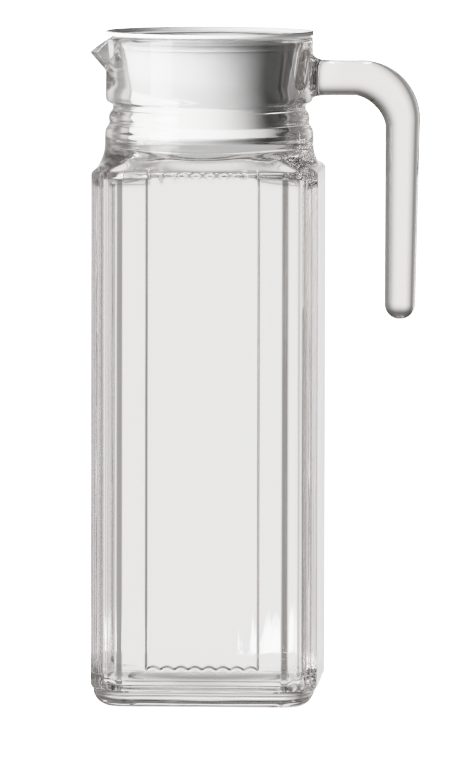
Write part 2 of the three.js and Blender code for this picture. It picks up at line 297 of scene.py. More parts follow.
def side_outline(wide):
    """Half a side, from the middle of its panel to the corner: its corner points and their radii."""
    points = [(PANEL_HALF, 0)]
    radii = []
    if wide:
        outer, slant = PANEL_HALF, WIDE_SLANT
    else:
        outer, slant = LEDGE_HALF, LEDGE_SLANT
        points.append((PANEL_HALF, PANEL_EDGE - PANEL_SLANT / 2))
        points.append((LEDGE_HALF, PANEL_EDGE + PANEL_SLANT / 2))
        radii += [STEP_ROUND, STEP_FILLET]
    points += [(outer, LEDGE_EDGE - slant / 2), (CORNER_HALF, LEDGE_EDGE + slant / 2)]
    radii += [LEDGE_ROUND, CORNER_FILLET]
    return points, radii


def stepped_quarter(before_wide, after_wide):
    """Rounded outline of the stepped square from the middle of one panel to the next."""
    before, before_radii = side_outline(before_wide)
    after, after_radii = side_outline(after_wide)
    corners = before + [(CORNER_HALF, CORNER_HALF)] + [(y, x) for x, y in reversed(after)]
    radii = before_radii + [CORNER_ROUND] + after_radii[::-1]
    outline = fillet_outline(corners, radii, ARC_STEPS)[1:-1]
    first = [np.array([PANEL_HALF, y]) for y in panel_marks()]
    last = [np.array([x, PANEL_HALF]) for x in panel_marks()[:0:-1]]
    filled = [outline[0]]
    for a, b in zip(outline, outline[1:]):
        parts = int(np.linalg.norm(b - a) / POINT_SPACING) + 1
        filled.extend(a + (b - a) * step / parts for step in range(1, parts + 1))
    return np.array(first + filled + last)


def stepped_outline():
    """All the way round from +X: only the panel at the back (+Y) is wide, with a single step."""
    wide = (False, True, False, False)
    turns = []
    for number, (c, s) in enumerate(((1, 0), (0, 1), (-1, 0), (0, -1))):
        quarter = stepped_quarter(wide[number], wide[(number + 1) % 4])
        turns.append(quarter @ np.array([[c, s], [-s, c]]))
    return np.vstack(turns)


OUTLINE = stepped_outline()
THETA = np.arctan2(OUTLINE[:, 1], OUTLINE[:, 0])
THETA = np.where(THETA < -1e-9, THETA + 2 * math.pi, THETA)
STEPPED = np.hypot(OUTLINE[:, 0], OUTLINE[:, 1])
COS, SIN = np.cos(THETA), np.sin(THETA)


def rounded_square(half, corner):
    """Distance from the axis to a rounded square, in every direction of THETA."""
    x, y = np.abs(COS), np.abs(SIN)
    straight = half / np.maximum(x, y)
    centre = half - corner
    along = centre * (x + y)
    inside = np.maximum(along**2 - 2 * centre**2 + corner**2, 0)
    return np.where(np.minimum(x, y) * straight <= centre, straight, along + np.sqrt(inside))


def ring(radius, z):
    """Points all round the axis, in the directions of THETA."""
    radius = np.broadcast_to(radius, THETA.shape)
    z = np.broadcast_to(z, THETA.shape)
    return np.stack([radius * COS, radius * SIN, z], 1)


def wave(z, size, phase):
    """Slight unevenness of pressed glass."""
    return size * (
        np.sin(3 * THETA + z / 17 + phase)
        + 0.6 * np.sin(5 * THETA - z / 11 + 2.1 * phase)
        + 0.4 * np.sin(8 * THETA + z / 7 + 0.7 * phase)
    )


# ------------------------------------------------------------------ outer skin of the glass


def foot_rings():
    """The push-up under the jug and the flat foot round it."""
    inner = FOOT_HALF - FOOT_WIDTH
    rings = []
    for share in (0.2, 0.5, 0.8):
        rings.append(ring(rounded_square(inner * share, inner * share * 0.5), PUSH_UP))
    for angle in np.radians([0, 30, 60, 90]):
        half = inner - PUSH_UP_ROUND * (1 - math.sin(angle))
        rings.append(ring(rounded_square(half, half * 0.4), PUSH_UP * math.cos(angle) ** 2))
    rings.append(ring(rounded_square(inner + 1.5, 5), 0))
    outer = FOOT_HALF - FOOT_EDGE_INSET
    rings.append(ring(rounded_square(outer, outer - CORNER_CENTRE), 0))
    return rings


def heel_radius(z):
    """The rounded heel between the foot and the panels."""
    top_half = PANEL_HALF - HEEL_INSET
    turn = math.acos(1 - z / HEEL_TOP)
    half = FOOT_HALF + (top_half - FOOT_HALF) * math.sin(turn)
    return rounded_square(half, half - CORNER_CENTRE)


def heel_rings():
    """The heel from just above the foot to its top."""
    heights = HEEL_TOP * (1 - np.cos(np.radians(np.linspace(8, 90, 16))))
    return [ring(heel_radius(z), z) for z in heights]


def column_rings():
    """The stepped columns, rounded off onto the heel below and the shoulder above."""
    rings = []
    heel = heel_radius(HEEL_TOP)
    for angle in np.radians(np.linspace(12, 90, 8)):
        share = math.sin(angle)
        z = HEEL_TOP + (COLUMN_BOTTOM - HEEL_TOP) * (1 - math.cos(angle))
        inset = COLUMN_END_INSET * (1 - share)
        rings.append(ring(heel - inset + (STEPPED - heel) * share, z))
    for z in np.linspace(COLUMN_BOTTOM + 4, COLUMN_TOP - 4, 40):
        rings.append(ring(STEPPED + wave(z, *COLUMN_WAVE), z))
    rings.append(ring(STEPPED, COLUMN_TOP - 1))
    shoulder = shoulder_radius(0)
    for angle in np.radians(np.linspace(90, 0, 8)):
        share = math.sin(angle)
        z = SHOULDER_Z - (SHOULDER_Z - COLUMN_TOP) * (1 - math.cos(angle))
        inset = COLUMN_END_INSET * (1 - share)
        rings.append(ring(shoulder - inset + (STEPPED - shoulder) * share, z))
    return rings


def shoulder_radius(share):
    """From the square body (share 0) to the round neck (share 1)."""
    half = PANEL_HALF - SHOULDER_INSET
    square = rounded_square(half, half - CORNER_CENTRE)
    squareness = (1 + math.cos(math.pi * share**SHOULDER_BULGE)) / 2
    neck = NECK_OUTLINE[0][0]
    return neck + (square - neck) * squareness


def shoulder_rings():
    """The shoulder between the columns and the neck."""
    start = SHOULDER_Z + SHOULDER_START
    rings = []
    for share in np.linspace(0, 1, 26)[:-1] ** SHOULDER_SPACING:
        z = start + (SHOULDER_TOP - start) * share
        rings.append(ring(shoulder_radius(share), z))
    return rings


def beak_strength():
    """1 at the beak's tip, 0 outside its spread."""
    away = np.abs(THETA - math.pi)
    soft = np.sqrt(away**2 + BEAK_TIP_SOFTNESS**2) - BEAK_TIP_SOFTNESS
    return np.clip(1 - soft / BEAK_SPREAD, 0, 1) ** BEAK_SHARPNESS


BEAK = beak_strength()


def collar_ring(radius, z):
    """A ring of the collar, pushed out and lowered where the beak is."""
    share = np.clip((z - BEAK_ROOT_Z) / (RIM_Z - BEAK_ROOT_Z), 0, 1)
    push = BEAK * share
    return ring(radius + BEAK_REACH * push, z - (RIM_Z - BEAK_TIP_Z) * push)


def neck_rings():
    """Bands, waist, collar and the outer half of the rim."""
    rings = [ring(radius, z) for radius, z in smooth_curve(NECK_OUTLINE, 5)]
    for z in np.linspace(COLLAR_START_Z, RIM_Z - RIM_ROUND, 18):
        rings.append(collar_ring(COLLAR_RADIUS, z))
    for angle in np.radians(np.linspace(15, 90, 6)):
        radius = COLLAR_RADIUS - RIM_ROUND * (1 - math.cos(angle))
        rings.append(collar_ring(radius, RIM_Z - RIM_ROUND * (1 - math.sin(angle))))
    return rings


# ------------------------------------------------------------------ inner skin of the glass


def bore_radius(z):
    """Radius of the neck's bore at a height."""
    heights, radii = zip(*BORE)
    return np.interp(z, heights, radii)


def soft_bore(z):
    """The bore with its bends rounded off."""
    return sum(bore_radius(z + shift) for shift in (-1.6, -0.8, 0, 0.8, 1.6)) / 5


def bore_ripple(z):
    """Low rings left inside the neck below the collar."""
    strength = ease((COLLAR_BOTTOM_Z - z) / 2)
    return RIPPLE_HEIGHT * strength * math.sin(2 * math.pi * z / RIPPLE_PITCH)


def ease(value):
    """From 0 to 1 with a soft start and a soft end."""
    value = np.clip(value, 0, 1)
    return value * value * (3 - 2 * value)


def flutes():
    """Flutes inside every panel, and the thicker pad in the front one.

    Gives their height above the wall, and a number that is 1 at the ridges between flutes.
    """
    folded = (THETA + math.pi / 4) % (math.pi / 2) - math.pi / 4
    across = np.abs(INNER_HALF * np.tan(folded))
    narrow = (across / FLUTE_PITCH) % 1 - 0.5
    wide = (across - PAD_HALF_WIDTH) / (WIDE_FLUTE_END - PAD_HALF_WIDTH) - 0.5
    ridges = (2 * np.where(across < PAD_HALF_WIDTH - 0.01, narrow, wide)) ** 2
    ridges = np.where(across > WIDE_FLUTE_END, 1, ridges)
    middle = 1 - ease((across - PAD_HALF_WIDTH) / PAD_SIDE_WIDTH + 0.5)
    middle = np.where(SIN < FRONT_SIN, middle, 0)
    return FLUTE_DEPTH * ridges + PAD_THICKNESS * middle, ridges


def pad(z):
    """The fluted pad at a height: it ends in scallops above and below."""
    relief, ridges = FLUTES
    top = PAD_TOP_Z - PAD_SCALLOP * (1 - ridges)
    bottom = PAD_BOTTOM_Z + PAD_SCALLOP * (1 - ridges)
    return relief * ease((top - z) / PAD_EDGE_WIDTH) * ease((z - bottom) / PAD_EDGE_WIDTH)


FLUTES = flutes()


def hollow_rings():
    """The inside of the jug, from the rim down to the middle of its floor."""
    rings = []
    for angle in np.radians(np.linspace(0, 90, 7)):
        radius = BORE_TOP + RIM_ROUND * (1 - math.sin(angle))
        rings.append(collar_ring(radius, RIM_Z - RIM_ROUND * (1 - math.cos(angle))))
    for z in np.linspace(RIM_Z - RIM_ROUND, INNER_SHOULDER_TOP, 120)[1:]:
        rings.append(collar_ring(soft_bore(z) + bore_ripple(z), z))
    square = rounded_square(INNER_HALF, INNER_CORNER)
    for z in np.linspace(INNER_SHOULDER_TOP, INNER_SHOULDER_Z, 34)[1:-1]:
        share = (z - INNER_SHOULDER_Z) / (INNER_SHOULDER_TOP - INNER_SHOULDER_Z)
        squareness = (1 + math.cos(math.pi * share**INNER_SHOULDER_BULGE)) / 2
        shoulder = soft_bore(z) + (square - soft_bore(z)) * squareness
        rings.append(ring(shoulder - pad(z) + wave(z, *INNER_SHOULDER_WAVE), z))
    for z in np.linspace(INNER_SHOULDER_Z, INNER_HEEL_Z, 44):
        rings.append(ring(square - pad(z) + wave(z, *INNER_WALL_WAVE), z))
    for drop in np.linspace(0, 1, 44)[1:]:
        z = INNER_HEEL_Z - (INNER_HEEL_Z - FLOOR_Z) * (1 - (1 - drop) ** FLOOR_SPACING)
        sink = np.clip((FLOOR_Z + FLOOR_FILLET - z) / FLOOR_FILLET, 0, 1)
        half = INNER_HALF - FLOOR_FILLET * (1 - math.sqrt(1 - sink**2))
        fillet = rounded_square(half, max(3, INNER_CORNER + half - INNER_HALF))
        rings.append(ring(fillet - pad(z), z))
    for share in (0.85, 0.6, 0.35, 0.12):
        half = (INNER_HALF - FLOOR_FILLET) * share
        z = FLOOR_Z + FLOOR_DOME * (1 - share) ** 2
        rings.append(ring(rounded_square(half, half * 0.6), z))
    return rings


# ------------------------------------------------------------------ handle


def handle_line(distance):
    """Centre and direction of the hook's bar at a distance from the arm's inner end."""
    arm = GRIP_X - BEND_RADIUS - HANDLE_ROOT_X
    if distance <= arm:
        return np.array([HANDLE_ROOT_X + distance, 0, ARM_Z]), np.array([1.0, 0, 0])
    turn = min((distance - arm) / BEND_RADIUS, BEND_ANGLE)
    direction = np.array([math.cos(turn), 0, -math.sin(turn)])
    centre = np.array([GRIP_X - BEND_RADIUS, 0, ARM_Z - BEND_RADIUS])
    centre += BEND_RADIUS * np.array([math.sin(turn), 0, math.cos(turn)])
    return centre + direction * (distance - arm - BEND_RADIUS * turn), direction


def bar_section(centre, direction, half_width, half_depth, count=64):
    """A rounded-oval section across the bar."""
    across = np.array([-direction[2], 0, direction[0]])
    turn = np.linspace(0, 2 * math.pi, count, endpoint=False)
    u = np.sign(np.cos(turn)) * np.abs(np.cos(turn)) ** HANDLE_ROUNDNESS
    v = np.sign(np.sin(turn)) * np.abs(np.sin(turn)) ** HANDLE_ROUNDNESS
    depth = np.array([0, 1.0, 0])
    return centre + np.outer(u * half_width, across) - np.outer(v * half_depth, depth)


def handle_rings():
    """Arm, bend, tapering grip and its round end; the arm flares where it is welded to the neck."""
    arm = GRIP_X - BEND_RADIUS - HANDLE_ROOT_X
    bend = BEND_RADIUS * BEND_ANGLE
    total = arm + bend + GRIP_LENGTH
    rings = []
    at_weld = np.linspace(0, WELD_REACH, 26)
    beyond = np.linspace(WELD_REACH + 0.5, total, 110)
    for distance in np.concatenate([at_weld, beyond]):
        centre, direction = handle_line(distance)
        in_bend = np.clip((distance - arm) / bend, 0, 1)
        along_grip = np.clip((distance - arm - bend) / GRIP_LENGTH, 0, 1)
        width = ARM_HEIGHT + (GRIP_WIDTH - ARM_HEIGHT) * in_bend
        width += BEND_SWELL * math.sin(math.pi * in_bend)
        width -= (GRIP_WIDTH - GRIP_END_WIDTH) * along_grip
        flare = math.exp(-distance / WELD_FADE)
        half_width = width / 2 + WELD_HEIGHT * flare
        half_depth = HANDLE_DEPTH / 2 + WELD_DEPTH * flare
        centre = centre + np.array([0, 0, WELD_LIFT * flare])
        rings.append(bar_section(centre, direction, half_width, half_depth))
    end, down = handle_line(total)
    end_radius = GRIP_END_WIDTH / 2
    for angle in np.radians(np.linspace(8, 86, 14)):
        centre = end + down * end_radius * math.sin(angle)
        shrink = math.cos(angle)
        rings.append(bar_section(centre, down, end_radius * shrink, HANDLE_DEPTH / 2 * shrink))
    return rings


def make_glass():
    """Body and handle, fused into one piece of glass."""
    outside = foot_rings() + heel_rings() + column_rings() + shoulder_rings() + neck_rings()
    rings = outside + hollow_rings()
    glass = new_object("glass_jug", *loft(rings))
    hook = new_object("handle_tool", *loft(handle_rings()))
    union = glass.modifiers.new("weld", "BOOLEAN")
    union.operation = "UNION"
    union.solver = "MANIFOLD"
    union.object = hook
    graph = bpy.context.evaluated_depsgraph_get()
    applied = bpy.data.meshes.new_from_object(glass.evaluated_get(graph))
    glass.modifiers.clear()
    glass.data = applied
    applied.materials.clear()
    applied.shade_smooth()
    applied.set_sharp_from_angle(angle=math.radians(SHARP_ANGLE_GLASS))
    bpy.data.objects.remove(hook)
    return glass


# ------------------------------------------------------------------ lid


LID_TURN = np.linspace(0, 2 * math.pi, 256, endpoint=False)
LID_COS, LID_SIN = np.cos(LID_TURN), np.sin(LID_TURN)
UNDER_Z = TOP_Z - FLANGE_THICK
DISH_Z = TOP_Z - LIP_HEIGHT


def lid_ring(radius, z):
    """Points round the lid; the radius and the height may change on the way round."""
    radius = np.broadcast_to(radius, LID_COS.shape)
    z = np.broadcast_to(z, LID_COS.shape)
    return np.stack([radius * LID_COS, radius * LID_SIN, z], 1)


def plug_end_rings():
    """The closed lower end of the plug, very slightly hollow, with a rounded edge."""
    end_radius = soft_bore(PLUG_END_Z) - PLUG_CLEARANCE
    rings = []
    for radius in (6, 14, 22):
        rings.append(lid_ring(radius, PLUG_END_Z + PLUG_END_HOLLOW * (1 - radius / HOLLOW_RADIUS)))
    for angle in np.radians(np.linspace(0, 90, 7)):
        radius = end_radius - PLUG_END_ROUND * (1 - math.sin(angle))
        rings.append(lid_ring(radius, PLUG_END_Z + PLUG_END_ROUND * (1 - math.cos(angle))))
    return rings


def skirt_rings():
    """Outside of the plug: plain wall, slanted edge of the thicker sealing band, band and ribs."""
    edge = BAND_MIDDLE_Z - BAND_SLOPE * BAND_REACH * LID_COS
    low = PLUG_END_Z + PLUG_END_ROUND
    rings = []
    for share in np.linspace(0.1, 1, 10):
        z = low + (edge - BAND_EDGE_START - low) * share
        rings.append(lid_ring(soft_bore(z) - PLUG_CLEARANCE, z))
    for angle in np.radians(np.linspace(15, 90, 5)):
        z = edge - BAND_EDGE_ROUND * math.cos(angle)
        relief = (PLUG_CLEARANCE - BAND_CLEARANCE) * math.sin(angle)
        rings.append(lid_ring(soft_bore(z) - PLUG_CLEARANCE + relief, z))
    start = edge + BAND_EDGE_END
    top = RIB_LEVELS[-1] - RIB_HEIGHT / 2
    for share in np.linspace(0, 1, 14):
        z = start + (top - start) * share
        rings.append(lid_ring(soft_bore(z) - BAND_CLEARANCE, z))
    for level in reversed(RIB_LEVELS):
        for share in np.linspace(-1, 1, 7):
            z = level + share * RIB_HEIGHT / 2
            swell = (BAND_CLEARANCE - RIB_CLEARANCE) * math.cos(share * math.pi / 2) ** 2
            rings.append(lid_ring(soft_bore(z) - BAND_CLEARANCE + swell, z))
    return rings


def flange_rings():
    """Underside, rounded edge and raised lip of the flange."""
    below = UNDER_Z - FLANGE_FILLET
    rings = [
        lid_ring(soft_bore(below) - BAND_CLEARANCE, below),
        lid_ring(soft_bore(UNDER_Z) - BAND_CLEARANCE + FLANGE_FILLET, UNDER_Z),
        lid_ring(FLANGE_RADIUS - FLANGE_EDGE_ROUND, UNDER_Z),
    ]
    straight = FLANGE_THICK - 2 * FLANGE_EDGE_ROUND
    for angle in np.radians(np.linspace(-60, 90, 8)):
        z = UNDER_Z + FLANGE_EDGE_ROUND * (1 + math.sin(angle))
        z += straight * max(0, math.sin(angle)) ** FLANGE_SIDE_POWER
        radius = FLANGE_RADIUS - FLANGE_EDGE_ROUND * (1 - math.cos(angle))
        rings.append(lid_ring(radius, min(z, TOP_Z)))
    lip = FLANGE_RADIUS - LIP_WIDTH
    for inset, z in ((-0.35, TOP_Z), (-0.08, TOP_Z - 0.12), (0.1, DISH_Z + 0.15), (0.5, DISH_Z)):
        rings.append(lid_ring(lip - inset, z))
    return rings


def cup_rings():
    """The open cup inside the plug, down to the middle of its floor."""
    wall_top = soft_bore(UNDER_Z) - PLUG_CLEARANCE - PLUG_WALL
    brim = DISH_Z - 0.1
    rings = [lid_ring(wall_top + CUP_TOP_SLOPE, brim)]
    for angle in np.radians(np.linspace(20, 90, 5)):
        radius = wall_top + CUP_TOP_ROUND * (1 - math.sin(angle))
        rings.append(lid_ring(radius, brim - CUP_TOP_ROUND * (1 - math.cos(angle))))
    floor = PLUG_END_Z + PLUG_WALL
    for z in np.linspace(DISH_Z - CUP_WALL_START, floor + CUP_FLOOR_ROUND, 16):
        rings.append(lid_ring(soft_bore(z) - PLUG_CLEARANCE - PLUG_WALL, z))
    inside = soft_bore(floor) - PLUG_CLEARANCE - PLUG_WALL
    for angle in np.radians(np.linspace(20, 90, 6)):
        radius = inside - CUP_FLOOR_ROUND * (1 - math.cos(angle))
        rings.append(lid_ring(radius, floor + CUP_FLOOR_ROUND * (1 - math.sin(angle))))
    rings.append(lid_ring(18, floor + 0.1))
    rings.append(lid_ring(7, floor + 0.2))
    return rings


def make_lid():
    """The plug lid as one closed skin, from the middle of its underside to the cup's floor."""
    rings = plug_end_rings() + skirt_rings() + flange_rings() + cup_rings()
    return new_object("plug_lid", *loft(rings))


# ------------------------------------------------------------------ node helpers

MIX_INPUTS = {"FLOAT": (0, 2, 3), "RGBA": (0, 6, 7)}
MIX_OUTPUT = {"FLOAT": 0, "RGBA": 2}


def node_material(name):
    """An empty node material, its tree and the surface socket of its output."""
    material = bpy.data.materials.new(name)
    material.use_nodes = True
    tree = material.node_tree
    tree.nodes.clear()
    output = add(tree, "ShaderNodeOutputMaterial")
    return material, tree, output.inputs["Surface"]


def put(tree, value, slot):
    """Link a socket to an input, or set the input to a plain value."""
    if isinstance(value, bpy.types.NodeSocket):
        tree.links.new(value, slot)
    else:
        slot.default_value = value


def add(tree, kind, **values):
    """A new node, with its inputs and settings given by name."""
    node = tree.nodes.new(kind)
    for key, value in values.items():
        if key in node.inputs:
            put(tree, value, node.inputs[key])
        else:
            setattr(node, key, value)
    return node


def calc(tree, operation, *values):
    """One step of arithmetic on numbers."""
    node = add(tree, "ShaderNodeMath", operation=operation)
    for slot, value in zip(node.inputs, values):
        put(tree, value, slot)
    return node.outputs["Value"]


def vector_calc(tree, operation, output, *values):
    """One step of arithmetic on vectors."""
    node = add(tree, "ShaderNodeVectorMath", operation=operation)
    for slot, value in zip(node.inputs, values):
        put(tree, value, slot)
    return node.outputs[output]


def remap(tree, value, start, end, first=0.0, last=1.0, smooth=False):
    """From first to last while the value goes from start to end, and level beyond them."""
    node = add(tree, "ShaderNodeMapRange", Value=value)
    if smooth:
        node.interpolation_type = "SMOOTHSTEP"
    for slot, number in zip(node.inputs[1:5], (start, end, first, last)):
        slot.default_value = number
    return node.outputs["Result"]


def mix(tree, data_type, factor, first, second):
    """A mix of two numbers (FLOAT) or two colours (RGBA)."""
    node = add(tree, "ShaderNodeMix", data_type=data_type)
    for number, value in zip(MIX_INPUTS[data_type], (factor, first, second)):
        put(tree, value, node.inputs[number])
    return node.outputs[MIX_OUTPUT[data_type]]


def blend(tree, factor, first, second):
    """A mix of two shaders."""
    node = add(tree, "ShaderNodeMixShader")
    for slot, value in zip(node.inputs, (factor, first, second)):
        put(tree, value, slot)
    return node.outputs["Shader"]


def colour_ramp(tree, factor, stops):
    """Colours at given positions, with straight runs between them."""
    node = add(tree, "ShaderNodeValToRGB", Fac=factor)
    elements = node.color_ramp.elements
    for element, (position, colour) in ((elements[0], stops[0]), (elements[1], stops[-1])):
        element.position = position
        element.color = colour
    for position, colour in stops[1:-1]:
        elements.new(position).color = colour
    return node.outputs["Color"]


def grey(level):
    """An opaque grey."""
    return (level, level, level, 1)


def seen_by_glass(tree, rays):
    """1 for rays that have been through glass or mirrored by it."""
    return calc(tree, "MAXIMUM", rays.outputs["Is Glossy Ray"], rays.outputs["Is Transmission Ray"])


# ------------------------------------------------------------------ materials

GLASS_TINT = (1.0, 0.9965, 0.9955, 1)
HANDLE_TINT = (0.965, 0.958, 0.951, 1)
SHADOW_TINT = grey(0.93)
RIPPLE_STRETCH = (1, 1, 0.25)

# painted shade and light on the plastic, from 0 just below the sealing band's slanted edge to 1 high
# on the band, in mm: paler white below the edge for light from below, a dark line at the edge for
# the shade under it, greyer on the band
BAND_PAINTED_SHADING = [(0.1, (0.93, 0.93, 0.92, 1)), (0.13, grey(0.64)), (0.85, grey(0.84))]
BAND_PAINTED_SHADING_FROM = BAND_MIDDLE_Z - 1
BAND_PAINTED_SHADING_TO = BAND_MIDDLE_Z + 9
# painted shade: grey on the inside of the cup
CUP_PAINTED_SHADE = 0.4
# painted shade on the lip: a nearly black line on its round edge, a grey flat top
LIP_EDGE_PAINTED_SHADE = 0.08
LIP_TOP_PAINTED_SHADE = 0.6
LIP_DEPTH = 3  # mm below the top of the lid
LIP_EDGE_UP = 0.45  # upward part of the surface's direction where the lip's round edge, with its painted dark line, starts
LIP_TOP_UP = 0.96  # and where its flat top, with its painted grey shade, starts
# painted light: a glow on faces turned down, standing in for light from below
UNDERSIDE_GLOW = 0.55
UNDERSIDE_DOWN = (-0.9, -0.6)


def glass_material():
    """Clear glass, slightly rippled, with a greyer tint in the solid handle."""
    material, tree, surface = node_material("clear_glass")
    place = add(tree, "ShaderNodeTexCoord").outputs["Object"]
    stretched = add(tree, "ShaderNodeMapping", Vector=place, Scale=RIPPLE_STRETCH)
    ripple = add(
        tree, "ShaderNodeTexNoise", Vector=stretched.outputs["Vector"], Scale=60.0, Detail=2.0
    )
    bump = add(
        tree, "ShaderNodeBump", Height=ripple.outputs["Fac"], Strength=0.12, Distance=0.0006
    )
    along = add(tree, "ShaderNodeSeparateXYZ", Vector=place).outputs["X"]
    in_handle = remap(tree, along, HANDLE_TINT_START * MM, HANDLE_TINT_END * MM)
    glass = add(
        tree,
        "ShaderNodeBsdfGlass",
        IOR=1.5,
        Roughness=0.0,
        Color=mix(tree, "RGBA", in_handle, GLASS_TINT, HANDLE_TINT),
        Normal=bump.outputs["Normal"],
    )
    clear = add(tree, "ShaderNodeBsdfTransparent", Color=SHADOW_TINT)
    shadow = add(tree, "ShaderNodeLightPath").outputs["Is Shadow Ray"]
    put(tree, blend(tree, shadow, glass.outputs["BSDF"], clear.outputs["BSDF"]), surface)
    return material


def plastic_colour_with_painted_shade(tree, position, normal):
    """Colour of the plastic with its painted shade (band, cup, lip's edge and top), and how far its
    surface faces up.
    """
    # painted shade and light on the band, by height above its slanted edge
    above_edge = vector_calc(tree, "DOT_PRODUCT", "Value", position, (BAND_SLOPE, 0, 1))
    up_band = remap(tree, above_edge, BAND_PAINTED_SHADING_FROM * MM, BAND_PAINTED_SHADING_TO * MM)
    colour = colour_ramp(tree, up_band, BAND_PAINTED_SHADING)
    sideways = vector_calc(tree, "MULTIPLY", "Vector", position, (1, 1, 0))
    outward = vector_calc(tree, "DOT_PRODUCT", "Value", sideways, normal)
    up = add(tree, "ShaderNodeSeparateXYZ", Vector=normal).outputs["Z"]
    height = add(tree, "ShaderNodeSeparateXYZ", Vector=position).outputs["Z"]
    at_lip = calc(tree, "GREATER_THAN", height, (TOP_Z - LIP_DEPTH) * MM)
    lip_up = calc(tree, "MULTIPLY", up, at_lip)
    # painted shade inside the cup and on the lip's edge and top
    for test, tone in (
        (calc(tree, "LESS_THAN", outward, -0.001), CUP_PAINTED_SHADE),
        (calc(tree, "GREATER_THAN", lip_up, LIP_EDGE_UP), LIP_EDGE_PAINTED_SHADE),
        (calc(tree, "GREATER_THAN", lip_up, LIP_TOP_UP), LIP_TOP_PAINTED_SHADE),
    ):
        colour = mix(tree, "RGBA", test, colour, grey(tone))
    return colour, up


def plastic_material():
    """White moulded plastic with a fine grain and painted shade; its underside has a painted glow
    that stands in for light from below.
    """
    material, tree, surface = node_material("white_plastic")
    place = add(tree, "ShaderNodeTexCoord")
    grain = add(
        tree, "ShaderNodeTexNoise", Vector=place.outputs["Object"], Scale=900.0, Detail=3.0
    )
    bump = add(tree, "ShaderNodeBump", Height=grain.outputs["Fac"], Strength=0.1, Distance=0.0001)
    colour, up = plastic_colour_with_painted_shade(tree, place.outputs["Object"], place.outputs["Normal"])
    values = {
        "Base Color": colour,
        "Roughness": 0.45,
        "IOR": 1.5,
        "Specular IOR Level": 0.0,
        "Normal": bump.outputs["Normal"],
        "Emission Color": grey(1),
        # painted glow on the underside
        "Emission Strength": remap(tree, up, *UNDERSIDE_DOWN, UNDERSIDE_GLOW, 0),
    }
    plastic = add(tree, "ShaderNodeBsdfPrincipled", **values)
    put(tree, plastic.outputs["BSDF"], surface)
    return material


# ------------------------------------------------------------------ floor, lengths in metres

FLOOR_RADIUS_MM = 620
FLOOR_DROP_MM = 0.02
FLOOR_FADE = (0.25, 0.6)  # distances from the axis between which the floor fades out
FLOOR_GLOW = 4.5
FLOOR_TO_PLASTIC = 0.6
UNDER_JUG = (0.016, 0.045)  # and between which its shade under the glass ends
FLOOR_SHADE = 0.4
FLOOR_GREY = 0.85

# a bright streaky patch behind the jug, which only the glass sees
POOL_CENTRE = (0.0155, 0.25, 0)
POOL_SIZE = (0.014, 0.13, 1)
POOL_EDGE = (2.0, 1.2)
POOL_RAGGED = 1.6
POOL_STREAKS = (1, 0.12, 1)
POOL_GLOW = 2.4


def emission(tree, strength):
    """A white glow."""
    return add(tree, "ShaderNodeEmission", Strength=strength).outputs["Emission"]


def pool_of_light(tree, place):
    """1 inside a long streaky patch on the floor behind the jug."""
    pool = add(
        tree,
        "ShaderNodeMapping",
        vector_type="TEXTURE",
        Vector=place,
        Location=POOL_CENTRE,
        Scale=POOL_SIZE,
    ).outputs["Vector"]
    stretched = add(tree, "ShaderNodeMapping", Vector=pool, Scale=POOL_STREAKS).outputs["Vector"]
    streaks = add(tree, "ShaderNodeTexNoise", Vector=stretched, Scale=2.2, Detail=1.0)
    away = vector_calc(tree, "LENGTH", "Value", pool)
    ragged = calc(tree, "MULTIPLY_ADD", streaks.outputs["Fac"], POOL_RAGGED, away)
    return remap(tree, ragged, *POOL_EDGE, smooth=True)


def floor_material():
    """Pale floor; the glass sees the studio light through it, and the shade right under the jug."""
    material, tree, surface = node_material("pale_floor")
    place = add(tree, "ShaderNodeTexCoord").outputs["Object"]
    reach = vector_calc(tree, "LENGTH", "Value", place)
    matte = add(tree, "ShaderNodeBsdfDiffuse", Color=grey(FLOOR_GREY))
    seen = add(tree, "ShaderNodeAddShader")
    put(tree, matte.outputs["BSDF"], seen.inputs[0])
    put(tree, emission(tree, FLOOR_GLOW), seen.inputs[1])
    clear = add(tree, "ShaderNodeBsdfTransparent").outputs["BSDF"]
    clear_of_jug = remap(tree, reach, *UNDER_JUG, smooth=True)
    by_glass = blend(tree, clear_of_jug, emission(tree, FLOOR_SHADE), clear)
    by_glass = blend(tree, pool_of_light(tree, place), by_glass, emission(tree, POOL_GLOW))
    rays = add(tree, "ShaderNodeLightPath")
    glassy = seen_by_glass(tree, rays)
    unseen = blend(tree, glassy, emission(tree, FLOOR_TO_PLASTIC), by_glass)
    shown = blend(tree, rays.outputs["Is Camera Ray"], unseen, seen.outputs["Shader"])
    far = remap(tree, reach, *FLOOR_FADE, smooth=True)
    put(tree, blend(tree, far, shown, clear), surface)
    return material


def make_floor():
    """A round floor just below the foot; it isn't part of the jug."""
    turn = np.linspace(0, 2 * math.pi, 64, endpoint=False)
    rim = [
        (FLOOR_RADIUS_MM * math.cos(a), FLOOR_RADIUS_MM * math.sin(a), -FLOOR_DROP_MM) for a in turn
    ]
    floor = new_object("floor", rim, [list(range(len(rim)))])
    floor.data.materials.append(floor_material())


# ------------------------------------------------------------------ studio light, in degrees

# level of the light at each angle around the jug, 0 straight behind it and + to the right
LIGHT_AROUND = [
    (-180, 0.4),
    (-150, 0.2),
    (-130, 0.4),
    (-105, 0.7),
    (-60, 0.75),
    (-46, 0.75),
    (-37, 0.3),
    (-22, 0.18),
    (-16, 0.5),
    (-10, 0.75),
    (-4, 1.0),
    (3, 1.0),
    (8, 0.82),
    (14, 0.52),
    (20, 0.28),
    (27, 0.17),
    (60, 0.12),
    (70, 0.7),
    (88, 0.7),
    (96, 0.12),
    (150, 0.05),
    (180, 0.4),
]
FIELD_HEIGHTS = (0, 28)
FIELD_LEVELS = (1.2, 0.12)

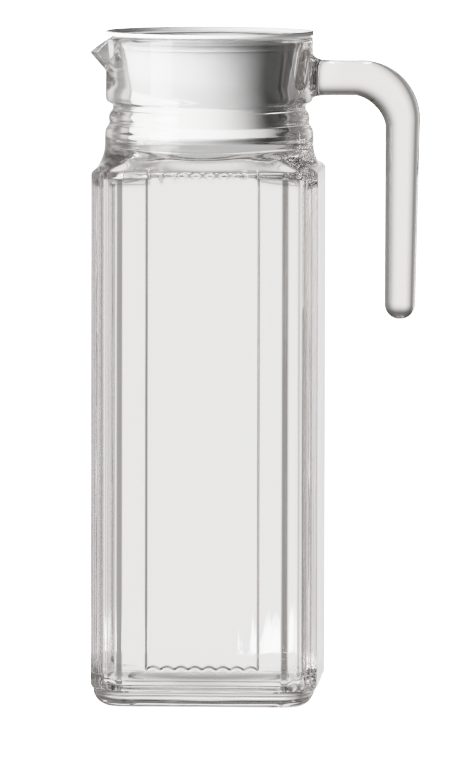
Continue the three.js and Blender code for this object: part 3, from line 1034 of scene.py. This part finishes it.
# bright panels: from, to and softness, around the jug and in height
WINDOW_AROUND = (-138, -112, 3)
WINDOW_HEIGHTS = (-5, 50, 4)
WINDOW_LEVEL = 7.0
KEY_AROUND = (-140, -126, 3)
KEY_HEIGHTS = (0, 50, 4)
KEY_LEVEL = 56.0

BACKGROUND_LEVEL = 5.0
ROOM_COLOUR = (1.0, 0.87, 0.76, 1)
ROOM_LEVEL = 0.06


def band(tree, value, low, high, soft):
    """1 between low and high, 0 outside, with soft edges."""
    up = remap(tree, value, low - soft, low + soft, smooth=True)
    down = remap(tree, value, high + soft, high - soft, smooth=True)
    return calc(tree, "MULTIPLY", up, down)


def studio_level(tree, azimuth, height):
    """Light from each direction: one level for the camera, one for glass and one for plastic."""
    turn = remap(tree, azimuth, -180, 180)
    stops = [((angle + 180) / 360, grey(level)) for angle, level in LIGHT_AROUND]
    around = colour_ramp(tree, turn, stops)
    field = remap(tree, height, *FIELD_HEIGHTS, *FIELD_LEVELS, smooth=True)
    backdrop = calc(tree, "MULTIPLY", around, field)
    window = calc(
        tree,
        "MULTIPLY",
        band(tree, azimuth, *WINDOW_AROUND),
        band(tree, height, *WINDOW_HEIGHTS),
    )
    key = calc(
        tree,
        "MULTIPLY",
        band(tree, azimuth, *KEY_AROUND),
        band(tree, height, *KEY_HEIGHTS),
    )
    to_glass = calc(tree, "MULTIPLY_ADD", window, WINDOW_LEVEL, backdrop)
    to_plastic = calc(tree, "MULTIPLY_ADD", key, KEY_LEVEL, backdrop)
    rays = add(tree, "ShaderNodeLightPath")
    unseen = mix(tree, "FLOAT", seen_by_glass(tree, rays), to_plastic, to_glass)
    return mix(tree, "FLOAT", rays.outputs["Is Camera Ray"], unseen, BACKGROUND_LEVEL)


def make_world():
    """Studio light that turns with the camera: a white field behind the jug, dark at the sides."""
    world = bpy.data.worlds.new("studio")
    bpy.context.scene.world = world
    world.use_nodes = True
    tree = world.node_tree
    tree.nodes.clear()
    direction = add(tree, "ShaderNodeTexCoord").outputs["Camera"]
    x, y, z = add(tree, "ShaderNodeSeparateXYZ", Vector=direction).outputs
    azimuth = calc(tree, "DEGREES", calc(tree, "ARCTAN2", x, z))
    height = calc(tree, "DEGREES", calc(tree, "ARCSINE", y))
    level = studio_level(tree, azimuth, height)
    shine = add(tree, "ShaderNodeBackground", Color=grey(1), Strength=level)
    room = add(tree, "ShaderNodeBackground", Color=ROOM_COLOUR, Strength=ROOM_LEVEL)
    total = add(tree, "ShaderNodeAddShader")
    put(tree, shine.outputs["Background"], total.inputs[0])
    put(tree, room.outputs["Background"], total.inputs[1])
    output = add(tree, "ShaderNodeOutputWorld")
    put(tree, total.outputs["Shader"], output.inputs["Surface"])


# ------------------------------------------------------------------ camera, lengths in metres

SENSOR_MM = 36
PIXEL_MM = 0.3725
IMAGE_HEIGHT = 763
CAMERA_DISTANCE = 4.2
CAMERA_HEIGHT = 0.42
CAMERA_YAW = math.radians(3.3)
CAMERA_ROLL = math.radians(0.12)
FARTHEST = 50
AIM_RIGHT = 0.0098
AIM_Z = 0.1189


def make_camera():
    """A long lens a little above the lid, looking slightly down."""
    data = bpy.data.cameras.new("camera")
    data.sensor_width = SENSOR_MM
    data.lens = SENSOR_MM * CAMERA_DISTANCE / (IMAGE_HEIGHT * PIXEL_MM * MM)
    data.clip_end = FARTHEST
    camera = bpy.data.objects.new("camera", data)
    bpy.context.scene.collection.objects.link(camera)
    right = Vector((math.cos(CAMERA_YAW), math.sin(CAMERA_YAW), 0))
    back = Vector((math.sin(CAMERA_YAW), -math.cos(CAMERA_YAW), 0))
    aim = right * AIM_RIGHT + Vector((0, 0, AIM_Z))
    place = right * AIM_RIGHT + back * CAMERA_DISTANCE + Vector((0, 0, CAMERA_HEIGHT))
    look = (aim - place).to_track_quat("-Z", "Y").to_matrix().to_4x4()
    camera.matrix_world = Matrix.Translation(place) @ look @ Matrix.Rotation(CAMERA_ROLL, 4, "Z")
    bpy.context.scene.camera = camera


# ------------------------------------------------------------------ film and bounces

GLASS_BOUNCES = 24
GLOSSY_BOUNCES = 16
COMBINED_CURVE = 3
FILM_WHITE = 4.0

# light in the scene, and how bright it is shown
FILM_POINTS = [
    (0.25, 0.25),
    (0.5, 0.47),
    (0.75, 0.64),
    (1.0, 0.755),
    (1.3, 0.85),
    (1.9, 0.935),
    (2.8, 0.98),
]


def film_curve(view):
    """A soft shoulder, so bright plastic keeps its shading and the background stays white."""
    view.use_curve_mapping = True
    mapping = view.curve_mapping
    mapping.white_level = (FILM_WHITE, FILM_WHITE, FILM_WHITE)
    curve = mapping.curves[COMBINED_CURVE]
    for light, shown in FILM_POINTS:
        curve.points.new(light / FILM_WHITE, shown)
    mapping.update()


def set_look():
    """Film curve, and enough bounces for rays that cross many walls of glass."""
    scene = bpy.context.scene
    scene.view_settings.view_transform = "Standard"
    film_curve(scene.view_settings)
    scene.cycles.max_bounces = GLASS_BOUNCES
    scene.cycles.transmission_bounces = GLASS_BOUNCES
    scene.cycles.glossy_bounces = GLOSSY_BOUNCES
    scene.cycles.transparent_max_bounces = GLASS_BOUNCES
    scene.cycles.use_denoising = True
    scene.cycles.caustics_refractive = False
    scene.cycles.caustics_reflective = False


# ------------------------------------------------------------------ assembly

glass = make_glass()
glass.data.materials.append(glass_material())
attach(glass, "jug")
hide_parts("glass_body", "glass_handle")

lid = make_lid()
lid.data.materials.append(plastic_material())
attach(lid, "lid")
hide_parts("lid")

make_floor()
make_world()
make_camera()
set_look()
